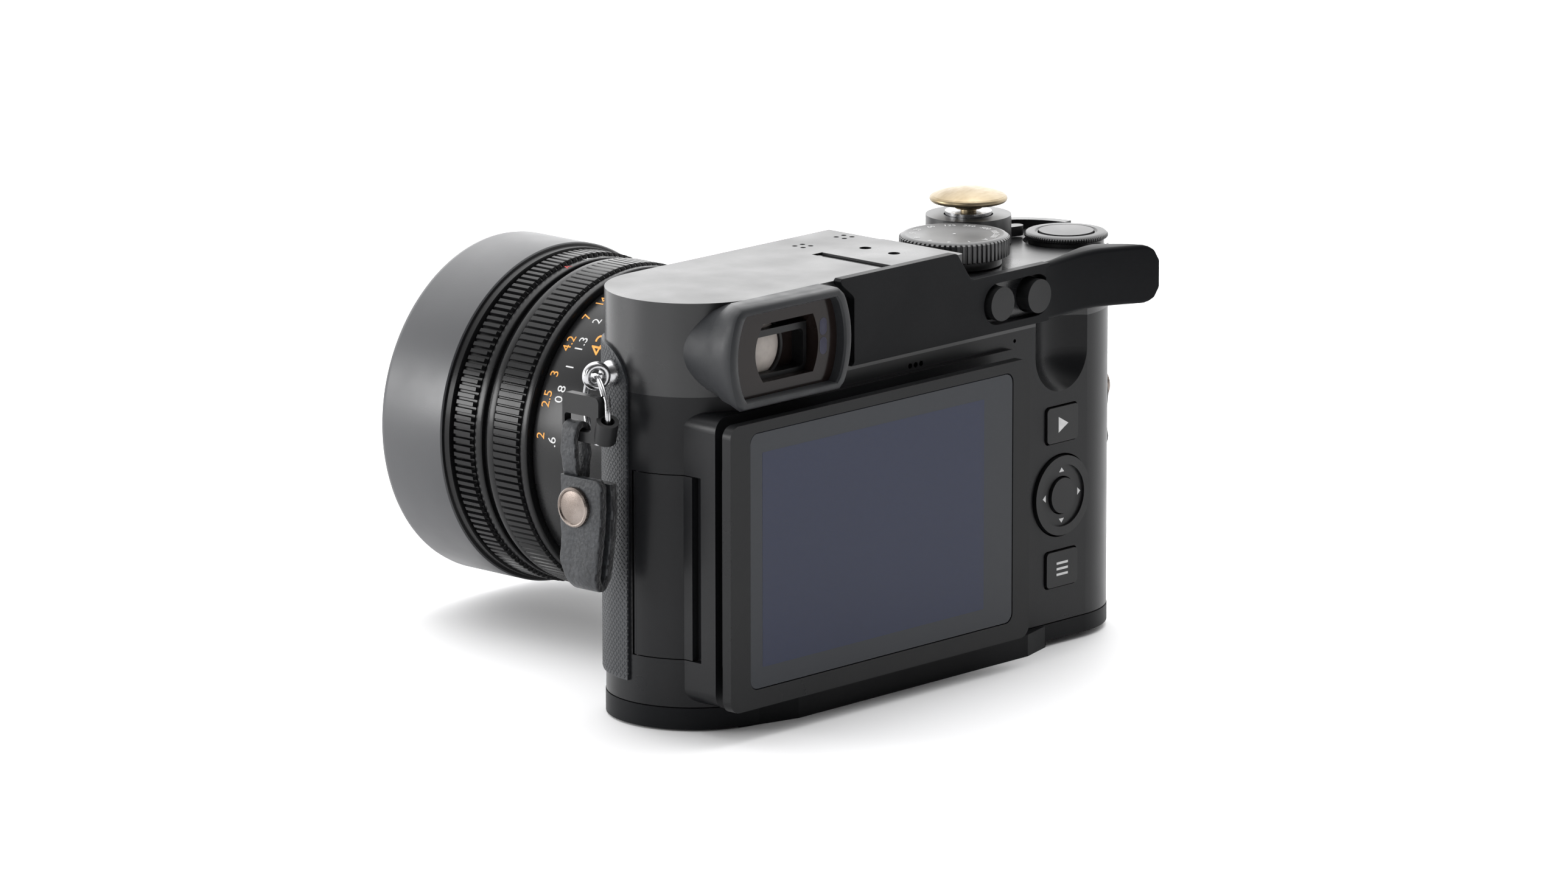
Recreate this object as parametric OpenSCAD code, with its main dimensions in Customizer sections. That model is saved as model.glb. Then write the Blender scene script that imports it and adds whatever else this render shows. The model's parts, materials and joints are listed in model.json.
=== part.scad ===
// Fixed-lens digital rangefinder-style camera with thumb rest, base plate and strap tabs.
// Origin: centre of the tripod socket, on the underside. -Y is the front, +Z is up, +X is the
// photographer's left. All lengths are in millimetres.

/* [Body] */
// Width over the rounded ends
body_w = 130; // [128:0.5:134]
// Thickness of the body without lens and display
body_t = 34.2; // [34:0.1:35]
// Height of the lower body shell's top edge
seam_z = 66; // [65.5:0.1:66.5]
// Height of the right-hand deck with the controls
deck_z = 78.2; // [78:0.1:78.4]
// Height of the raised top over the viewfinder
top_z = 84.4; // [84.2:0.1:85]
// Thickness of the metal walls
wall = 2; // [1.8:0.1:2.2]

/* [Lens] */
// Height of the lens axis
lens_z = 39; // [38.5:0.1:39.5]
// Radius of the hood
hood_r = 34.8; // [34.6:0.1:35.4]
// Length from the body front to the hood's front edge
hood_reach = 82.5; // [81:0.5:86]
// Radius of the aperture ring
aperture_r = 33.7; // [33.4:0.1:34]
// Radius of the focus ring
focus_r = 33.4; // [33:0.1:34]
// Radius of the distance scale sleeve
scale_r = 31.6; // [31.2:0.1:32]

/* [Display] */
// Width of the tilting display
display_w = 86; // [84:0.5:86]
// Height of the tilting display
display_h = 56.4; // [55:0.2:56.4]
// Distance of the display face behind the body's middle
display_y = 25; // [24.8:0.1:25.4]

/* [Controls] */
// Radius of the shutter-speed dial
dial_r = 11; // [10:0.1:11.2]
// Radius of the thumb wheel
wheel_r = 8.4; // [8:0.1:8.5]
// Radius of the soft release button
release_r = 7.8; // [6:0.1:8.4]
// Height of the soft release's highest point
release_z = 89.6; // [89:0.1:91]

/* [Base] */
// Width of the dovetail rail under the body
rail_w = 38.9; // [38:0.1:39.5]
// Thickness of the accessory base plate
base_t = 4.6; // [4.5:0.1:4.7]
// Radius of the tapped tripod hole
tripod_r = 2.6; // [2.5:0.05:2.7]

/* [Hidden] */
$fn = 72;
eps = 0.01;

half_w = body_w / 2;
end_r = body_t / 2;
end_x = half_w - end_r;
back_y = end_r;
inner_r = end_r - wall;
body_z = base_t + 0.2;
bottom_t = 1.6;
shell_z = body_z + bottom_t;
step_x = -9.3;
wrap_corner = [-8.6, 66.4];
wrap_r = 7.8;
speaker_x = [1.2, 2.8, 4.4];
speaker_z = 64;
lamp_at = [-26.3, 64.1];

hood_y = -end_r - hood_reach;
hood_rear_y = -82.2;
hood_wall = 1.7;
aperture_y = [-80.4, -72.6];
focus_y = [-71.2, -60.1];
scale_y = [-59.8, -36];
core_r = 28;
bore_r = 23;

frame_x = [-26.5, 61.5];
frame_z = [5.6, 63];
frame_y = back_y + 1.5;
panel_x = [64 - display_w, 64];
panel_z = [6.2, 6.2 + display_h];
panel_y = [display_y - 2.15, display_y];
glass_x = [-17.1, 58.5];
glass_z = [9.9, 60.5];
lower_axis = [20.2, 9.5];
upper_axis = [21.6, 60.2];
knuckle_r = 1.2;
pin_r = 0.6;
gap = 0.3;
rim_z = 80;

dial_at = [-23.4, 3.6];
shutter_at = [-40.5, -8];
wheel_at = [-56, 4.4];
collar_r = 8.6;
collar_top = 84.2;
button_x = -40.3;
play_z = 45.1;
menu_z = 15.6;
dpad_z = 30.5;
dpad_r = 8.1;
gimbal_y = 13.2;
function_at = [[-19.3, 73.1], [-30.2, 73]];
function_r = 3.4;
recess_r = 9.5;
recess_y = back_y + 5.5;
recess_z = 59.5;

door_z = [14.4, 50.6];
door_pin = [end_x + end_r - 1.1, 0.5];
door_angles = [3, 37];
lip_x = [59.9, 61.5];
lip_y = [10.1, 12.5];
battery_x = [-58, -39];
battery_y = [-9.5, 7.5];
battery_z = [1.4, 46];

ring_at = [69.4, -5.2, 62.6];
ring_r = 6.6;
ring_turn = 62;
wire_r = 0.85;
link_x = [71.9, 73.7];
tab_x = [70.4, 75.4];
tab_y = [-9.5, 1.6];
tab_z = [27.6, 61];
band_y = [-9.3, -5.3];
tab_hollow = [71.6, 74.2];
loop_z = 58.4;
rivet_at = [-5.4, 44.4];

// Flat shapes -------------------------------------------------------------------------------
module rounded(w, h, r) {
    union() {
        square([w - 2 * r, h], center = true);
        square([w, h - 2 * r], center = true);
        for (sx = [-1, 1], sy = [-1, 1]) {
            translate([sx * (w / 2 - r), sy * (h / 2 - r)]) circle(r);
        }
    }
}

module stadium(r, x = end_x) {
    union() {
        square([2 * x, 2 * r], center = true);
        for (s = [-1, 1]) translate([s * x, 0]) circle(r);
    }
}

// Solids placed by their limits -------------------------------------------------------------
module body_block(r, z0, z1) {
    translate([0, 0, z0]) linear_extrude(z1 - z0) stadium(r);
}

module slab_y(x, z, y, r) {
    translate([(x[0] + x[1]) / 2, y[1], (z[0] + z[1]) / 2])
        rotate([90, 0, 0])
        linear_extrude(y[1] - y[0])
        rounded(x[1] - x[0], z[1] - z[0], r);
}

module slab_z(x, y, z, r) {
    translate([(x[0] + x[1]) / 2, (y[0] + y[1]) / 2, z[0]])
        linear_extrude(z[1] - z[0])
        rounded(x[1] - x[0], y[1] - y[0], r);
}

module box(x, y, z) {
    translate([x[0], y[0], z[0]]) cube([x[1] - x[0], y[1] - y[0], z[1] - z[0]]);
}

module rod_y(x, z, r, y) {
    translate([x, y[1], z]) rotate([90, 0, 0]) cylinder(r = r, h = y[1] - y[0]);
}

module rod_x(y, z, r, x) {
    translate([x[0], y, z]) rotate([0, 90, 0]) cylinder(r = r, h = x[1] - x[0]);
}

module rod_z(at, r, z) {
    translate([at[0], at[1], z[0]]) cylinder(r = r, h = z[1] - z[0]);
}

module lens_tube(outer, inner, y) {
    difference() {
        rod_y(0, lens_z, outer, y);
        rod_y(0, lens_z, inner, [y[0] - 1, y[1] + 1]);
    }
}

module end_sector(a0, a1, r0, r1, z0, z1) {
    intersection() {
        difference() {
            rod_z([end_x, 0], r1, [z0, z1]);
            rod_z([end_x, 0], r0, [z0 - 1, z1 + 1]);
        }
        translate([end_x, 0, z0])
            linear_extrude(z1 - z0)
            polygon([[0, 0], 30 * [cos(a0), sin(a0)], 30 * [cos(a1), sin(a1)]]);
    }
}

module thumb_hollow(z_end) {
    rod_z([button_x, recess_y], recess_r, [recess_z, z_end]);
    translate([button_x, recess_y, recess_z]) sphere(recess_r);
}

// Body --------------------------------------------------------------------------------------
module body_shell() {
    color("#1a1a1c") difference() {
        union() {
            difference() {
                body_block(end_r, shell_z, seam_z);
                body_block(inner_r, shell_z - 1, seam_z + 1);
            }
            box([-50, -30.6], [10.5, inner_r + 0.5], [49.5, seam_z]);
        }
        rod_y(0, lens_z, core_r + 0.2, [-end_r - 1, -inner_r + 1]);
        thumb_hollow(seam_z + 1);
        slab_y([button_x - 4.9, button_x + 4.9], [play_z - 3.9, play_z + 3.9], [14, 18], 1);
        slab_y([button_x - 4.9, button_x + 4.9], [menu_z - 3.9, menu_z + 3.9], [14, 18], 1);
        rod_y(button_x, dpad_z, dpad_r + 0.4, [14, 18]);
        for (x = speaker_x) rod_y(x, speaker_z, 0.55, [back_y - 1.2, 18]);
        rod_y(lamp_at[0], lamp_at[1], 0.4, [back_y - 1, 18]);
        end_sector(0.5, 39, inner_r - 1, end_r + 1, door_z[0] - 0.2, door_z[1] + 0.2);
        rod_z(door_pin, 1.25, [door_z[0] - 0.2, door_z[1] + 0.2]);
        rod_z(door_pin, 0.5, [door_z[0] - 1.7, door_z[1] + 1.7]);
        box(lip_x + [-0.2, 0.2], lip_y + [-0.2, 0.2], door_z + [-0.2, 0.2]);
    }
}

module top_cover() {
    color("#1b1b1d") difference() {
        union() {
            difference() {
                union() {
                    body_block(end_r, seam_z, deck_z);
                    intersection() {
                        body_block(end_r, seam_z, top_z);
                        box([step_x, half_w + 1], [-20, 20], [seam_z, top_z]);
                    }
                    deck_rim();
                }
                body_block(inner_r, seam_z - 1, deck_z - wall);
                intersection() {
                    body_block(inner_r, seam_z, 80.8);
                    box([step_x + wall, half_w], [-20, 20], [seam_z, 80.8]);
                }
            }
            box([-50, -30.6], [10.5, inner_r + 0.5], [seam_z, 69.4]);
        }
        thumb_hollow(67.5);
        rod_y(0, lens_z, core_r + 0.2, [-end_r - 1, -inner_r + 1]);
        box([-11, 11], [-3, back_y + 1], [81.4, top_z + 1]);
        rod_z(dial_at, 3.2, [deck_z - 3, deck_z + 1]);
        rod_z(shutter_at, 5, [deck_z - 3, deck_z + 1]);
        rod_z(wheel_at, wheel_r + 0.3, [deck_z - 1, deck_z + 1]);
        rod_z(wheel_at, 2.9, [deck_z - 3, deck_z]);
        for (f = function_at) rod_y(f[0], f[1], function_r + 0.2, [13.4, 18]);
        slab_y([35, 57.5], [67.5, 79.5], [-2, 18], 1.5);
        for (gx = [-6, 6], ox = [-1.1, 1.1], oy = [-1.1, 1.1]) {
            rod_z([gx + ox, -10 + oy], 0.55, [79, top_z + 1]);
        }
    }
}

module deck_rim() {
    intersection() {
        difference() {
            rod_z([-end_x, 0], end_r, [deck_z - 0.5, rim_z]);
            rod_z([-end_x, 0], end_r - 2.3, [deck_z - 1, rim_z + 1]);
        }
        translate([-end_x, 0, deck_z - 1])
            linear_extrude(4)
            polygon([[0, 0], 30 * [cos(187), sin(187)], 30 * [cos(240), sin(240)]]);
    }
}

module bottom_cover() {
    color("#161617") difference() {
        body_block(end_r, body_z, shell_z);
        slab_z(battery_x + [-0.3, 0.3], battery_y + [-0.3, 0.3], [body_z - 1, shell_z + 1], 2.5);
        rod_z([0, 0], 5.2, [body_z - 1, shell_z + 1]);
        rod_z([-31, -6], 2, [body_z - 1, shell_z + 1]);
    }
}

module leather_wrap() {
    color("#2c2f33") difference() {
        body_block(end_r + 0.6, 9, wrap_corner[1] + wrap_r);
        body_block(end_r, 8, 75);
        box([-half_w - 2, half_w + 2], [-1, end_r + 2], [8, 75]);
        rod_y(0, lens_z, scale_r + 0.6, [-20, 0]);
        difference() {
            box([-half_w - 2, half_w + 2], [wrap_corner[0], 0], [wrap_corner[1], 80]);
            rod_x(wrap_corner[0], wrap_corner[1], wrap_r, [-half_w - 3, half_w + 3]);
        }
    }
}

module base_plate() {
    color("#141415") difference() {
        union() {
            translate([0, 0, 0.4]) linear_extrude(base_t - 0.4) stadium(end_r + 0.1);
            linear_extrude(base_t - 0.2)
                polygon([
                    [-36, -end_r], [-28, -rail_w / 2], [39, -rail_w / 2], [52, -end_r + 1],
                    [52, end_r - 1], [39, rail_w / 2], [-28, rail_w / 2], [-36, end_r]
                ]);
        }
        box([-70, -36], [-20, 20], [-1, 1.2]);
        slab_z(battery_x + [-0.5, 0.5], battery_y + [-0.5, 0.5], [-1, base_t + 1], 2.7);
        rod_z([0, 0], 3.4, [-1, base_t + 1]);
        rod_z([0, 0], 7.2, [-1, 2.4]);
        rod_z([-31, -6], 3.9, [-1, base_t + 1]);
    }
}

module base_plate_screw() {
    color("#8c8c8e") difference() {
        union() {
            rod_z([0, 0], 6.9, [0, 2.3]);
            rod_z([0, 0], 4.9, [base_t + 0.1, shell_z + 7]);
            rod_z([0, 0], 3.2, [2, base_t + 1]);
        }
        rod_z([0, 0], tripod_r, [-1, 10.5]);
    }
}

// Display -----------------------------------------------------------------------------------
module display_frame() {
    color("#1a1a1c") difference() {
        union() {
            difference() {
                slab_y(frame_x, frame_z, [8, frame_y], 3);
                body_block(end_r, 4, 67);
            }
            for (x = [-12, 51.2]) {
                rod_x(lower_axis[0], lower_axis[1], knuckle_r, [x, x + 3]);
                box([x, x + 3], [frame_y - 0.5, lower_axis[0]], [lower_axis[1] - 1, lower_axis[1] + 1]);
            }
        }
        rod_x(lower_axis[0], lower_axis[1], pin_r, [-13, 56]);
        box([59.8, 63], [8, 14.8], door_z + [-0.2, 0.2]);
    }
}

module display_arm() {
    color("#222224") difference() {
        union() {
            slab_y([-8.6, 50.8], [lower_axis[1], 58], [19.2, 20.4], 1);
            rod_x(lower_axis[0], lower_axis[1], knuckle_r, [-8.6, 50.8]);
            rod_x(upper_axis[0], upper_axis[1], knuckle_r, [-8.6, 50.8]);
            translate([-8.6, 0, 0]) rotate([90, 0, 90]) linear_extrude(59.4)
                polygon([[19.2, 56], [20.4, 56], [22.3, 59.3], [21.2, 61.2]]);
        }
        slab_y([0, 42.2], [16, 52], [18, 22], 3);
        rod_x(lower_axis[0], lower_axis[1], pin_r, [-13, 56]);
        rod_x(upper_axis[0], upper_axis[1], pin_r, [-13, 56]);
    }
}

module display_panel() {
    color("#1c1c1e") difference() {
        union() {
            slab_y(panel_x, panel_z, panel_y, 2.4);
            slab_y([panel_x[0] + 2, panel_x[1] - 2], [13, 55], [20.9, panel_y[0] + eps], 2);
            for (x = [-12, 51.2]) {
                rod_x(upper_axis[0], upper_axis[1], knuckle_r, [x, x + 3]);
                box([x, x + 3], [upper_axis[0], panel_y[0] + eps],
                    [upper_axis[1] - 1.1, upper_axis[1] + 1.1]);
            }
        }
        slab_y(glass_x, glass_z, [display_y - 1, display_y + 1], 2);
        slab_y([-8.7, 55.1], [14, 56.5], [display_y - 1.7, display_y], 0.5);
        rod_x(upper_axis[0], upper_axis[1], pin_r, [-13, 56]);
    }
}

module display_glass() {
    color("#26282e") slab_y(glass_x + [0.1, -0.1], glass_z + [0.1, -0.1],
        [display_y - 0.9, display_y - 0.1], 1.9);
}

module display_lcd() {
    color("#3a3d4c") slab_y([-8.6, 55], [14.1, 56.4], [display_y - 1.65, display_y - 1], 0.5);
}

module display_lower_pin() {
    color("#9a9a9c") rod_x(lower_axis[0], lower_axis[1], pin_r, [-12, 54.2]);
}

module display_upper_pin() {
    color("#9a9a9c") rod_x(upper_axis[0], upper_axis[1], pin_r, [-12, 54.2]);
}

// Viewfinder --------------------------------------------------------------------------------
module eyecup() {
    color("#202123") difference() {
        slab_y([28.4, 62.2], [64.7, 84.9], [6, 24], 4.5);
        body_block(end_r, 60, top_z);
        box([20, 70], [-1, back_y], [top_z - 0.1, 90]);
        slab_y([33.6, 59.4], [66.9, 82.5], [19.5, 26], 3);
        box([36.5, 56.4], [14, 26], [68.5, 78.6]);
        translate([27, 24.2, 60]) rotate([0, 0, 35]) box([-8, 4], [-3, 3.4], [0, 30]);
    }
}

module eyepiece_glass() {
    color("#2a2220") slab_y([33.7, 59.3], [67, 82.4], [19.5, 21.5], 2.9);
}

module viewfinder_module() {
    color("#242426") difference() {
        box([36.6, 56.3], [-10, 19.3], [68.6, 78.5]);
        slab_y([37.5, 55], [69.8, 77.2], [8, 20], 1);
    }
}

// Grip and shoe -----------------------------------------------------------------------------
module hot_shoe() {
    color("#2a2a2c") union() {
        box([-10.9, 10.9], [-2.9, 16.9], [81.4, 82.4]);
        for (s = [-1, 1]) {
            box([min(s * 9.4, s * 10.9), max(s * 9.4, s * 10.9)], [-2.9, 16.9], [82.3, top_z - 0.3]);
        }
    }
}

wing_tip = [-57.6, 27.8];
wing_points = [
    for (t = [0:0.1:1]) [-33 + (wing_tip[0] + 33) * t, 19.2 + (wing_tip[1] - 19.2) * t * t * (3 - 2 * t)]
];

module thumb_rest() {
    color("#161617") difference() {
        union() {
            translate([0, 19.2, 0]) rotate([90, 0, 0]) linear_extrude(19.2 - back_y - 0.1)
                polygon([
                    [22.8, 67.3], [22.8, 80.6], [26.9, 84], [26.9, 85], [-7, 85], [-10.4, 79.8],
                    [-11.6, 79], [-34, 79], [-35, 78], [-35, 68.3], [-34, 67.3]
                ]);
            slab_z([-9.1, 9.1], [-2.6, 19.2], [82.5, top_z + 0.2], 0.6);
            intersection() {
                translate([0, 0, 60]) linear_extrude(25)
                    polygon(concat(wing_points, [
                        [-59.1, 27.3], [-59.7, 25.9], [-56.2, 19.4], [-54.2, 17.4], [-33, back_y + 0.1]
                    ]));
                slab_y([-60, -31.5], [68.4, 80.4], [10, 32], 3.6);
            }
        }
        slab_y([function_at[1][0] - 4.2, function_at[0][0] + 4.2], [68.8, 77.2], [15, 21], 4.1);
        for (y = [1.2, 8.8]) rod_z([0, y], 1.1, [82, 86]);
    }
}

// Lens --------------------------------------------------------------------------------------
module lens_barrel() {
    color("#1b1b1d") difference() {
        union() {
            rod_y(0, lens_z, scale_r, [scale_y[1] + 0.3, -end_r - 0.05]);
            rod_y(0, lens_z, core_r, [-84, -inner_r + 0.5]);
            rod_y(0, lens_z, aperture_r - 1.6, [focus_y[0] - 1.3, focus_y[0] - 0.2]);
        }
        rod_y(0, lens_z, bore_r, [-85, -30]);
        rod_y(0, lens_z, 15, [-31, 0]);
    }
}

module macro_ring() {
    color("#1a1a1b") lens_tube(scale_r, core_r + gap, scale_y);
}

module focus_ring() {
    color("#1e1e20") union() {
        lens_tube(focus_r, core_r + gap, [focus_y[0], focus_y[1] - 2]);
        lens_tube(focus_r - 0.5, core_r + gap, [focus_y[1] - 2.1, focus_y[1]]);
    }
}

module aperture_ring() {
    color("#1e1e20") union() {
        lens_tube(aperture_r, core_r + gap, [aperture_y[0], aperture_y[0] + 5.6]);
        lens_tube(aperture_r - 0.6, core_r + gap, [aperture_y[0] + 5.5, aperture_y[1]]);
    }
}

module lens_hood() {
    color("#222326") union() {
        lens_tube(hood_r, hood_r - hood_wall, [hood_y, hood_rear_y]);
        lens_tube(hood_r - 0.6, core_r + 0.05, [hood_rear_y - 1.6, hood_rear_y + 1.6]);
    }
}

module front_bezel() {
    color("#151516") difference() {
        lens_tube(core_r - 2.8, 16.4, [-88.4, -84.1]);
        translate([0, -85.8, lens_z]) rotate([90, 0, 0]) cylinder(r1 = 16.3, r2 = 24, h = 3);
    }
}

module front_element() {
    color("#20303c") union() {
        rod_y(0, lens_z, bore_r - 0.2, [-83.9, -77]);
        rod_y(0, lens_z, 16.1, [-84.6, -80]);
    }
}

module iris_unit() {
    color("#141415") lens_tube(bore_r - 0.2, 9, [-64, -61.5]);
}

module focus_group() {
    color("#2b3540") difference() {
        rod_y(0, lens_z, bore_r - 0.4, [-52, -42]);
        rod_y(0, lens_z, 17, [-53, -50]);
        rod_y(0, lens_z, 17, [-44, -41]);
    }
}

module rear_element() {
    color("#22323e") rod_y(0, lens_z, 14.8, [-27, -17]);
}

// Electronics -------------------------------------------------------------------------------
module image_sensor() {
    color("#3d4a4f") union() {
        slab_y([-24, 24], [lens_z - 19, lens_z + 19], [-4.2, -2.2], 1);
        slab_y([-18, 18], [lens_z - 12, lens_z + 12], [-5.4, -4.1], 0.5);
    }
}

module main_board() {
    color("#1d5a3a") union() {
        slab_y([-34, 44], [9, 62], [7, 8.4], 1);
        for (x = [-22, 2, 26]) box([x, x + 13], [8.3, 10], [26, 39]);
    }
}

module button_board() {
    color("#1d5a3a") union() {
        slab_y([-48, -31.6], [9.5, 49], [9.2, 10.4], 1);
        rod_y(button_x, dpad_z, 1.2, [10.3, 12.2]);
    }
}

module battery() {
    color("#2a2a2d") union() {
        slab_z(battery_x, battery_y, battery_z, 2.2);
    }
}

module battery_lever() {
    color("#3a3a3c") union() {
        rod_z([-31, -6], 1.8, [1.6, 12]);
        rod_z([-31, -6], 3.6, [1.5, 3]);
        box([-33.6, -30], [-6.7, -5.3], [0.7, 1.6]);
    }
}

module port_block() {
    color("#3b3b3e") difference() {
        box([50, 60.2], [-4, 8.8], [16, 49]);
        slab_x_hole([1.5, 4.7], [38.5, 47]);
        slab_x_hole([1, 5.6], [20, 33]);
    }
}

module slab_x_hole(y, z) {
    translate([55, (y[0] + y[1]) / 2, (z[0] + z[1]) / 2])
        rotate([90, 0, 90])
        linear_extrude(10)
        rounded(y[1] - y[0], z[1] - z[0], 1.2);
}

module port_door() {
    color("#19191b") difference() {
        union() {
            end_sector(door_angles[0], door_angles[1], end_r - 1.6, end_r - 0.05, door_z[0], door_z[1]);
            rod_z(door_pin, 0.95, door_z);
            box(lip_x, lip_y, door_z);
        }
        rod_z(door_pin, 0.5, door_z + [-1, 1]);
    }
}

module port_door_pin() {
    color("#9a9a9c") rod_z(door_pin, 0.5, door_z + [-1.6, 1.6]);
}

// Top controls ------------------------------------------------------------------------------
module shutter_button() {
    color("#b9babc") difference() {
        union() {
            rod_z(shutter_at, 4.7, [deck_z - 4, 84.9]);
            rod_z(shutter_at, 5.6, [deck_z - 5.2, deck_z - 4]);
        }
        rod_z(shutter_at, 1.6, [80, 86]);
    }
}

module soft_release() {
    color("#b08d4c") union() {
        translate([shutter_at[0], shutter_at[1], 0]) rotate_extrude()
            polygon([
                [0, 80.4], [1.6, 80.4], [1.6, 85.2], [3, 85.2], [3, 86.6], [release_r - 0.6, 87],
                [release_r, 87.4], [release_r, 87.8], [release_r * 0.86, 88.5],
                [release_r * 0.6, 89.2], [release_r * 0.3, release_z - 0.1], [0, release_z]
            ]);
    }
}

module power_switch() {
    tab = 166;
    color("#161617") difference() {
        union() {
            rod_z(shutter_at, collar_r, [deck_z + 0.3, collar_top]);
            translate([shutter_at[0], shutter_at[1], deck_z + 0.4]) rotate([0, 0, tab]) union() {
                box([0, 11.6], [-1.4, 1.4], [0, 2]);
                rod_z([11.6, 0], 1.4, [0, 2]);
            }
        }
        rod_z(shutter_at, 4.95, [deck_z - 1, collar_top + 1]);
    }
}

module speed_dial() {
    color("#18181a") union() {
        rod_z(dial_at, dial_r, [80, top_z]);
        rod_z(dial_at, dial_r - 1.4, [deck_z + 0.3, 80.1]);
        rod_z(dial_at, 3, [74, deck_z + 0.4]);
    }
}

module thumb_wheel() {
    color("#18181a") difference() {
        union() {
            rod_z(wheel_at, wheel_r, [deck_z - 0.8, 80.2]);
            rod_z(wheel_at, 2.7, [73.5, deck_z - 0.7]);
        }
        rod_z(wheel_at, 5.7, [79, 81]);
        rod_z(wheel_at, 1.5, [72, 81]);
    }
}

module thumb_wheel_button() {
    color("#1d1d1f") union() {
        rod_z(wheel_at, 5.5, [79.5, 80.3]);
        rod_z(wheel_at, 1.3, [73, 79.6]);
    }
}

// Rear controls -----------------------------------------------------------------------------
module function_button(at) {
    color("#151516") union() {
        rod_y(at[0], at[1], function_r, [14.4, 20.2]);
        slab_y([at[0] - 4.4, at[0] + 4.4], [at[1] - 3.5, at[1] + 2.8], [12.6, 14.5], 1);
    }
}

module square_button(z) {
    color("#1a1a1c") union() {
        slab_y([button_x - 4.6, button_x + 4.6], [z - 3.6, z + 3.6], [14.2, 17.6], 0.9);
        slab_y([button_x - 5.2, button_x + 5.2], [z - 4.2, z + 4.2], [13, 14.3], 0.9);
    }
}

module dpad_gimbal() {
    color("#5a5a5c") difference() {
        union() {
            rod_y(button_x, dpad_z, 3, [12.6, 13.8]);
            rod_x(gimbal_y, dpad_z, 0.4, [button_x - 3.8, button_x + 3.8]);
            rod_z([button_x, gimbal_y], 0.4, [dpad_z - 3.8, dpad_z + 3.8]);
        }
        rod_y(button_x, dpad_z, 1.6, [12, 14.4]);
    }
}

module dpad_ring() {
    color("#18181a") difference() {
        union() {
            rod_y(button_x, dpad_z, dpad_r, [15.8, 17.8]);
            rod_y(button_x, dpad_z, 5, [14.2, 15.9]);
        }
        rod_y(button_x, dpad_z, 6.3, [17.3, 18]);
        rod_y(button_x, dpad_z, 3.9, [13, 18]);
    }
}

module dpad_center() {
    color("#1a1a1c") union() {
        rod_y(button_x, dpad_z, 3.6, [15, 17.9]);
        rod_y(button_x, dpad_z, 3.3, [14.9, 15.1]);
    }
}

// Strap fittings, drawn on the left and turned round to the right -----------------------------
module right_side() {
    translate([0, 2 * ring_at[1], 0]) rotate([0, 0, 180]) children();
}

module strap_eyelet() {
    difference() {
        union() {
            translate(ring_at + [0, 0, ring_r]) rotate([0, 0, ring_turn]) rotate([0, 90, 0])
                cylinder(r = 3, h = 2.2, center = true);
            rod_x(ring_at[1], ring_at[2] + ring_r, 2.4, [62, 67.6]);
        }
        translate(ring_at + [0, 0, ring_r]) rotate([0, 0, ring_turn]) rotate([0, 90, 0])
            cylinder(r = 1.3, h = 9, center = true);
    }
}

module strap_lug_left() {
    color("#c9cacc") difference() {
        strap_eyelet();
        body_block(end_r + 0.65, 60, 80);
    }
}

module strap_lug_right() {
    color("#c9cacc") difference() {
        right_side() strap_eyelet();
        body_block(end_r + 0.65, 60, 80);
    }
}

module strap_ring() {
    color("#c4c5c7") translate(ring_at) rotate([0, 0, ring_turn]) rotate([90, 0, 0])
        rotate_extrude() translate([ring_r, 0]) circle(wire_r, $fn = 24);
}

module strap_link() {
    reach = 0.9;
    drop = sqrt(1 - reach * reach);
    sleeve = ring_at + ring_r * [reach * cos(ring_turn), reach * sin(ring_turn), -drop];
    color("#151516") difference() {
        union() {
            slab_x(link_x, [-10.2, -0.6], [57, 66.2], 1.2);
            translate(sleeve) rotate([0, 0, ring_turn]) rotate([0, acos(reach), 0])
                cylinder(r = 2.2, h = 4.6, center = true);
        }
        slab_x(link_x + [-1, 1], [band_y[0] - 0.3, -2.6], [59, 62.2], 0.6);
        translate(sleeve) rotate([0, 0, ring_turn]) rotate([0, acos(reach), 0])
            cylinder(r = 1.35, h = 9, center = true);
    }
}

module slab_x(x, y, z, r) {
    translate([x[0], (y[0] + y[1]) / 2, (z[0] + z[1]) / 2])
        rotate([90, 0, 90])
        linear_extrude(x[1] - x[0])
        rounded(y[1] - y[0], z[1] - z[0], r);
}

module strap_tab() {
    hollow_r = (tab_hollow[1] - tab_hollow[0]) / 2;
    color("#2b2e31") difference() {
        union() {
            slab_y(tab_x, [tab_z[0], 50], tab_y, 2.4);
            slab_y(tab_x, tab_z, band_y, 2.45);
        }
        slab_y(tab_hollow, [52.5, loop_z + hollow_r], [-13, 2], hollow_r - eps);
    }
}

module strap_rivet() {
    color("#a99a8c") union() {
        rod_x(rivet_at[0], rivet_at[1], 4, [tab_x[1] + 0.02, tab_x[1] + 1.1]);
        rod_x(rivet_at[0], rivet_at[1], 3.4, [tab_x[0] - 0.8, tab_x[0] - 0.02]);
    }
}

body_shell();
top_cover();
bottom_cover();
leather_wrap();
base_plate();
base_plate_screw();
display_frame();
display_arm();
display_panel();
display_glass();
display_lcd();
display_lower_pin();
display_upper_pin();
eyecup();
eyepiece_glass();
viewfinder_module();
thumb_rest();
hot_shoe();
lens_barrel();
macro_ring();
focus_ring();
aperture_ring();
lens_hood();
front_bezel();
front_element();
focus_group();
iris_unit();
rear_element();
image_sensor();
main_board();
button_board();
battery();
battery_lever();
port_block();
port_door();
port_door_pin();
shutter_button();
soft_release();
power_switch();
speed_dial();
thumb_wheel();
thumb_wheel_button();
function_button(function_at[0]);  // function_button_left
function_button(function_at[1]);  // function_button_right
square_button(play_z);  // play_button
square_button(menu_z);  // menu_button
dpad_gimbal();
dpad_ring();
dpad_center();
strap_lug_left();
strap_lug_right();
strap_ring();  // strap_ring_left
right_side() strap_ring();  // strap_ring_right
strap_link();  // strap_link_left
right_side() strap_link();  // strap_link_right
strap_tab();  // strap_tab_left
right_side() strap_tab();  // strap_tab_right
strap_rivet();  // strap_rivet_left
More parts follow.
